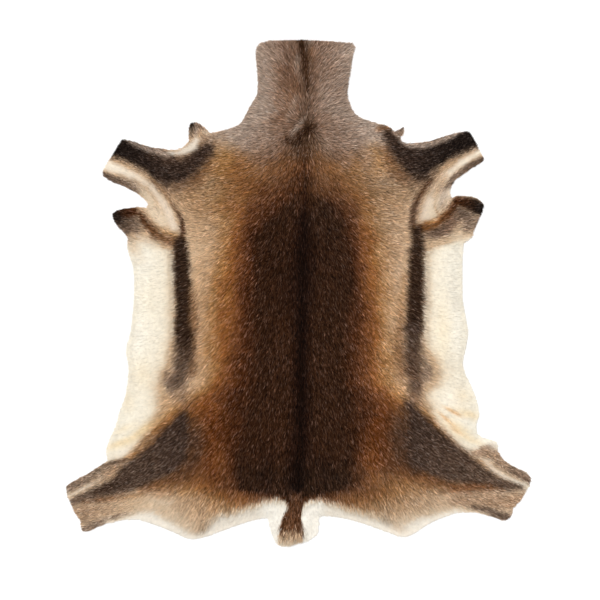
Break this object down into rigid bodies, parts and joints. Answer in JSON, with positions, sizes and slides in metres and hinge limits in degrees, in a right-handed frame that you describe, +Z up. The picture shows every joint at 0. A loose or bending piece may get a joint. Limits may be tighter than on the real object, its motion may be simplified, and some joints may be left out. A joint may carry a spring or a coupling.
{
  "type": "reindeer hide",
  "caption": "Whole reindeer hide lying flat with its hair side up, with neck, legs and tail, for use as a rug or throw.",
  "frame": {"origin": "on the resting surface, under the middle of the hide's bounding box", "axes": "+Y along the spine from the tail to the neck, +X to the right of the hide seen from above with the neck up, +Z up out of the skin through the hair"},
  "size_m": [1.1473, 1.248, 0.022],
  "materials": {
    "fur": "soft matt animal hair, short and dense, with dark back, fawn flanks and cream belly",
    "skin": "pale tanned suede on the underside"
  },
  "bodies": {
    "root": {"hide": "fur"}
  },
  "joints": []
}
